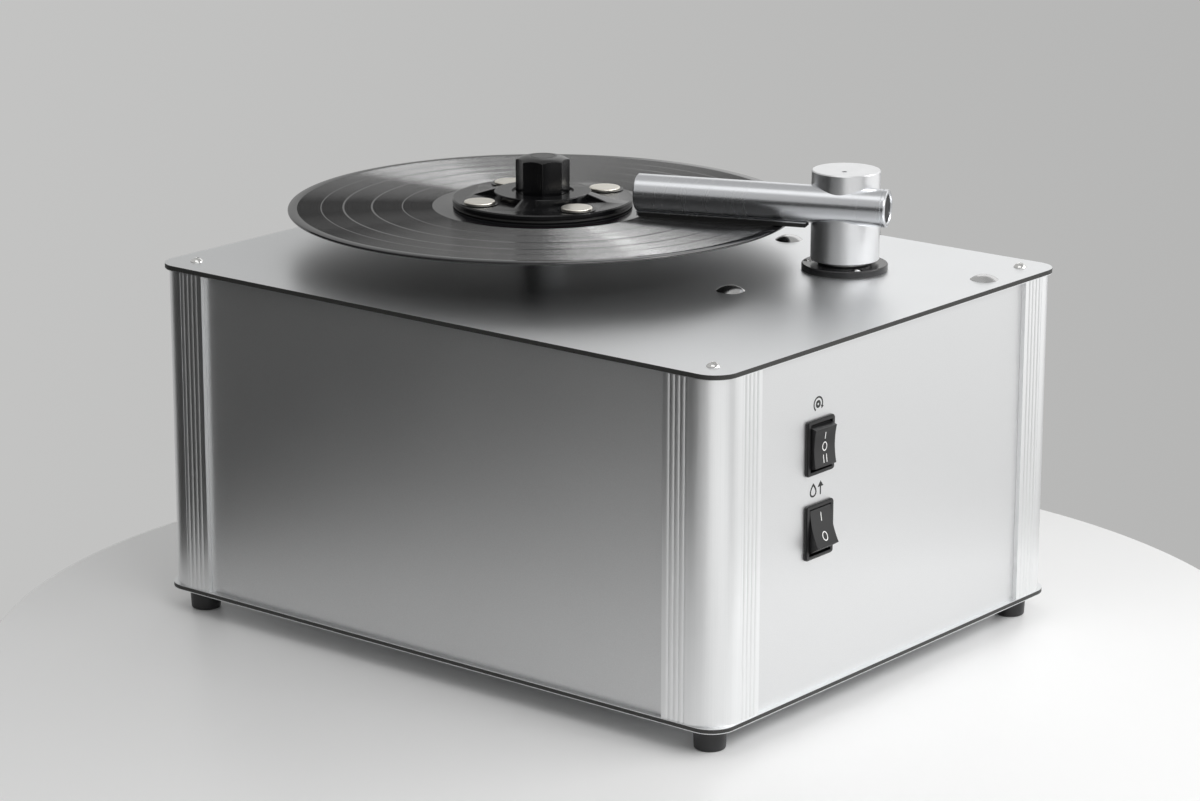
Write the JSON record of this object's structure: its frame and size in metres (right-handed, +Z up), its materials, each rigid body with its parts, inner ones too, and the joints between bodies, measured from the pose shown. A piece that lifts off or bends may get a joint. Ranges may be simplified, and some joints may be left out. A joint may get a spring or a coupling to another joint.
{
  "type": "record cleaning machine",
  "caption": "Record cleaning machine: boxy aluminium cabinet with a turntable, threaded record clamp, swinging suction arm, vacuum tank and fan, and rocker switches.",
  "frame": {"origin": "on the table, under the middle of the cabinet's plates", "axes": "+X to the side with the switches, -Y to the front, +Z up"},
  "size_m": [0.4207, 0.3332, 0.2707],
  "materials": {
    "sheet_skin": "fine satin, anodised",
    "sheet_core": "matt black core",
    "post_metal": "satin anodised extrusion",
    "panel_metal": "satin, brushed lengthwise",
    "turned_metal": "fine turned",
    "black_metal": "black anodised, satin",
    "bright_steel": "polished",
    "plain_steel": "bright, ground",
    "nickel_steel": "nickel plated, satin top",
    "foot_rubber": "matt black",
    "seal_rubber": "matt black",
    "switch_plastic": "satin black",
    "bush_plastic": "black bearing plastic",
    "clamp_plastic": "satin black moulding",
    "platter_plastic": "matt black",
    "vinyl": "glossy black, finely grooved",
    "brass_metal": "machined",
    "bronze_metal": "sintered, oiled",
    "contact_metal": "tinned blades",
    "tank_plastic": "natural white, semi-matt",
    "hose_plastic": "dark grey, smooth",
    "motor_metal": "grey, satin",
    "fan_metal": "pressed sheet"
  },
  "bodies": {
    "cabinet": {"top_panel_core": "sheet_core", "top_panel_skins": "sheet_skin", "bottom_panel_core": "sheet_core", "bottom_panel_skins": "sheet_skin", "corner_post_front_left": "post_metal", "corner_post_front_right": "post_metal", "corner_post_back_left": "post_metal", "corner_post_back_right": "post_metal", "front_panel": "panel_metal", "back_panel": "panel_metal", "left_panel": "panel_metal", "right_panel": "panel_metal", "feet": "foot_rubber", "foot_screws": "plain_steel", "top_corner_screws": "bright_steel", "motor_switch_body": "switch_plastic", "vacuum_switch_body": "switch_plastic", "switch_terminals": "contact_metal", "power_inlet": "switch_plastic", "inlet_pins": "contact_metal", "arm_collar": "black_metal", "collar_screws": "bright_steel", "pivot_bush": "bush_plastic", "bearing_housing": "turned_metal", "bearing_bushes": "bronze_metal", "bearing_screws": "bright_steel", "gear_motor": "motor_metal", "fluid_tank": "tank_plastic", "tank_gasket": "seal_rubber", "tank_lid": "tank_plastic", "tank_bolts": "bright_steel", "vacuum_hose": "hose_plastic", "motor_mount": "foot_rubber", "vacuum_motor": "motor_metal", "fan_housing": "fan_metal"},
    "motor_rocker": {"motor_rocker": "switch_plastic"},
    "vacuum_rocker": {"vacuum_rocker": "switch_plastic"},
    "turntable": {"spindle": "plain_steel", "platter_hub": "turned_metal", "platter": "platter_plastic", "platter_mat": "seal_rubber", "record": "vinyl", "shaft_coupling": "plain_steel"},
    "clamp": {"clamp_disc": "clamp_plastic", "clamp_seal": "seal_rubber", "clamp_weights": "nickel_steel"},
    "knob": {"clamp_knob": "clamp_plastic", "clamp_insert": "brass_metal"},
    "arm_swivel": {"spring_washer": "plain_steel", "arm_spring": "plain_steel"},
    "arm": {"arm_column": "turned_metal", "column_set_screws": "plain_steel", "arm_neck": "black_metal", "neck_circlip": "plain_steel", "arm_tube": "turned_metal", "arm_plugs": "bush_plastic", "lip_carrier": "turned_metal", "suction_lips": "seal_rubber"},
    "fan": {"fan_impeller": "fan_metal"},
    "drain_cap": {"drain_cap": "foot_rubber"}
  },
  "joints": [
    {"name": "platter_spin", "type": "hinge", "parent": "cabinet", "child": "turntable", "pos_m": [-0.0575, 0.01, 0.235], "axis": [0, 0, 1], "continuous": true},
    {"name": "clamp_lift", "type": "slide", "parent": "turntable", "child": "clamp", "axis": [0, 0, 1], "range_m": [0, 0.009]},
    {"name": "knob_turn", "type": "hinge", "parent": "clamp", "child": "knob", "pos_m": [-0.0575, 0.01, 0.25], "axis": [0, 0, 1], "range_deg": [0, 2160]},
    {"name": "arm_swing", "type": "hinge", "parent": "cabinet", "child": "arm_swivel", "pos_m": [0.1135, 0.0785, 0.217], "axis": [0, 0, 1], "range_deg": [-100, 100]},
    {"name": "arm_lift", "type": "slide", "parent": "arm_swivel", "child": "arm", "axis": [0, 0, 1], "range_m": [0, 0.01], "stiffness_N_per_m": 800, "springref_m": 0.0024, "deforming": ["arm_spring"]},
    {"name": "motor_rocker_tilt", "type": "hinge", "parent": "cabinet", "child": "motor_rocker", "pos_m": [0.201, -0.0715, 0.155], "axis": [0, 1, 0], "range_deg": [-16, 16]},
    {"name": "vacuum_rocker_tilt", "type": "hinge", "parent": "cabinet", "child": "vacuum_rocker", "pos_m": [0.201, -0.0715, 0.1075], "axis": [0, 1, 0], "range_deg": [0, 32]},
    {"name": "impeller_spin", "type": "hinge", "parent": "cabinet", "child": "fan", "pos_m": [-0.128, 0.075, 0.11], "axis": [0, 0, 1], "continuous": true},
    {"name": "drain_cap_pull", "type": "slide", "parent": "cabinet", "child": "drain_cap", "axis": [0, 1, 0], "range_m": [0, 0.012]}
  ],
  "couplings": [
    {"joint": "knob_turn", "follows": "clamp_lift", "rad_per_m": 4188.8}
  ]
}
